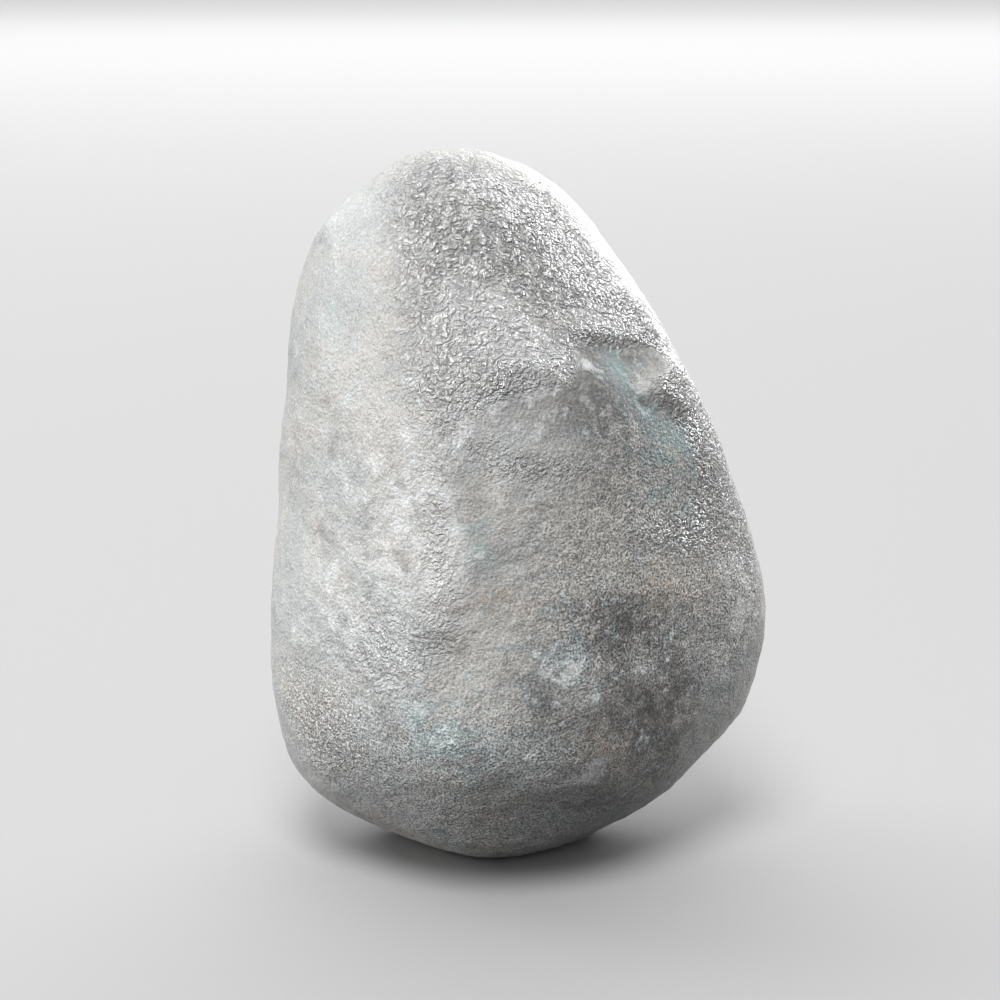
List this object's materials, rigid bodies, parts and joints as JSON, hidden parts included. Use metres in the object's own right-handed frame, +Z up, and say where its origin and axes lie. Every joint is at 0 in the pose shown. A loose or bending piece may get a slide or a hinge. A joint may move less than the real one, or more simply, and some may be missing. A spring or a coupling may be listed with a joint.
{
  "type": "river pebble",
  "caption": "Smooth egg-shaped river stone standing on its broad end, with softly worn faces, a small flat to rest on and two old chips high on the right.",
  "frame": {"origin": "on the small worn flat under the stone, about below its centre of mass", "axes": "+Z up along the stone's length, +X to the right seen from the front, +Y to the back through its thickness"},
  "size_m": [0.0497, 0.0419, 0.0709],
  "materials": {
    "worn_stone": "pale grey mottled stone, water-worn, half glossy on the fine wrinkles of its skin"
  },
  "bodies": {
    "root": {"pebble": "worn_stone"}
  },
  "joints": []
}
